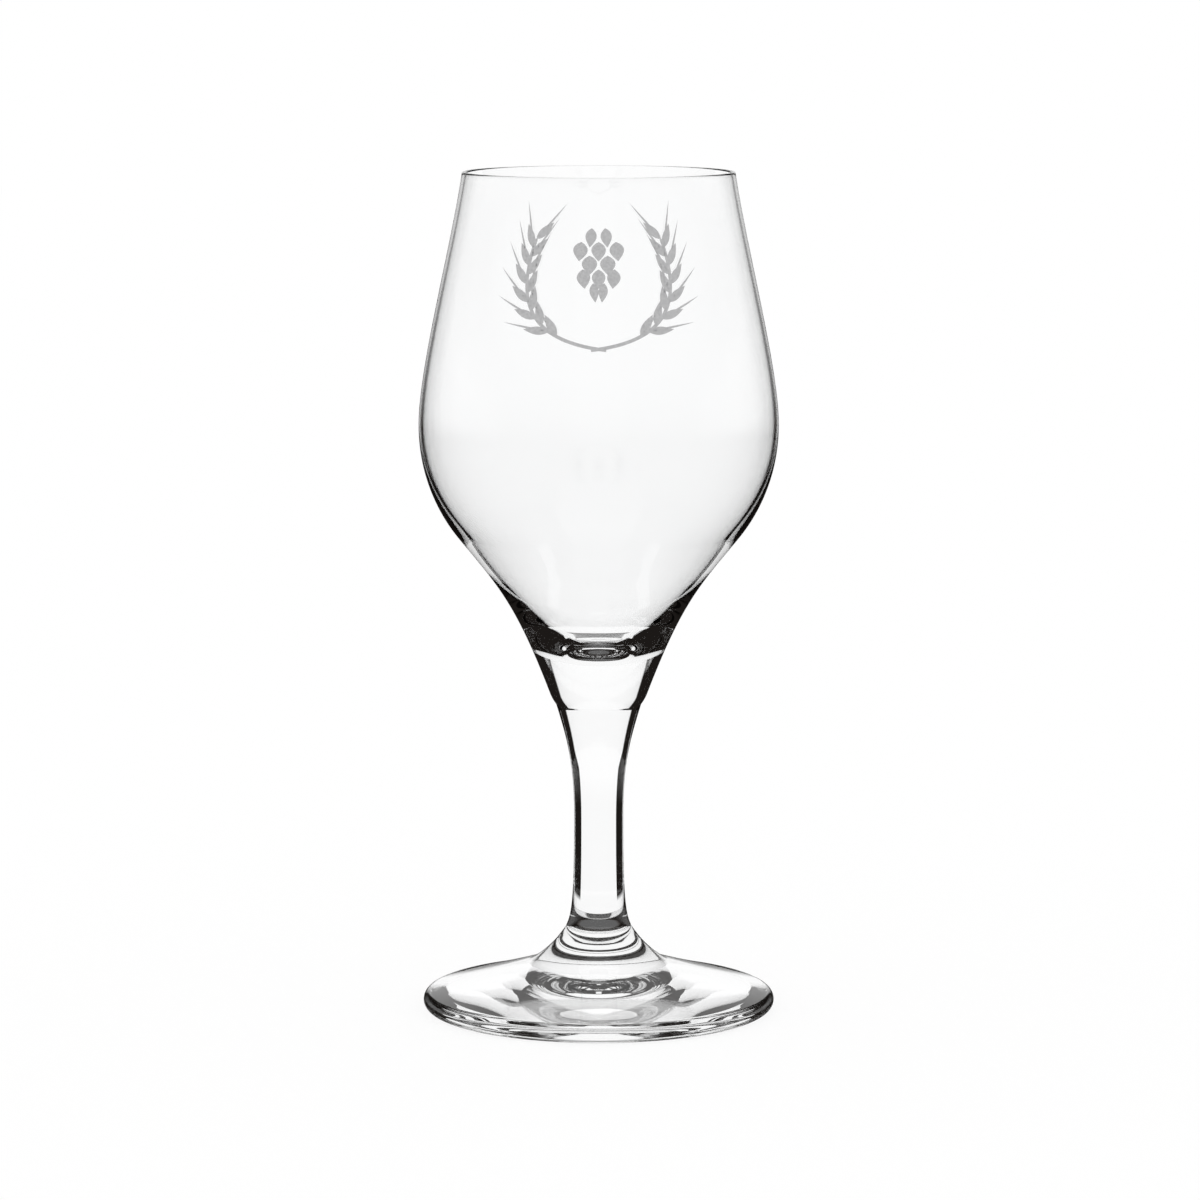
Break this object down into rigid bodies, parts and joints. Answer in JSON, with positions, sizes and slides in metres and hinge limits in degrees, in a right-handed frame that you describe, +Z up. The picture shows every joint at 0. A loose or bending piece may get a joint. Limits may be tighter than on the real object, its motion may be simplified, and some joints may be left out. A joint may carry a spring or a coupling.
{
  "type": "beer tasting glass",
  "caption": "Stemmed clear tasting glass: thin tulip bowl on a waisted solid stem and a low domed round foot.",
  "frame": {"origin": "on the table, under the middle of the foot", "axes": "+Z up along the glass's axis; the glass is round, so X and Y are free, with the pictured side towards -Y"},
  "size_m": [0.066, 0.066, 0.155],
  "materials": {
    "foot_glass": "pressed clear glass, fire polished",
    "stem_glass": "pressed clear glass, fire polished",
    "bowl_glass": "blown clear glass, polished rim"
  },
  "bodies": {
    "root": {"foot": "foot_glass", "stem": "stem_glass", "bowl": "bowl_glass"}
  },
  "joints": []
}
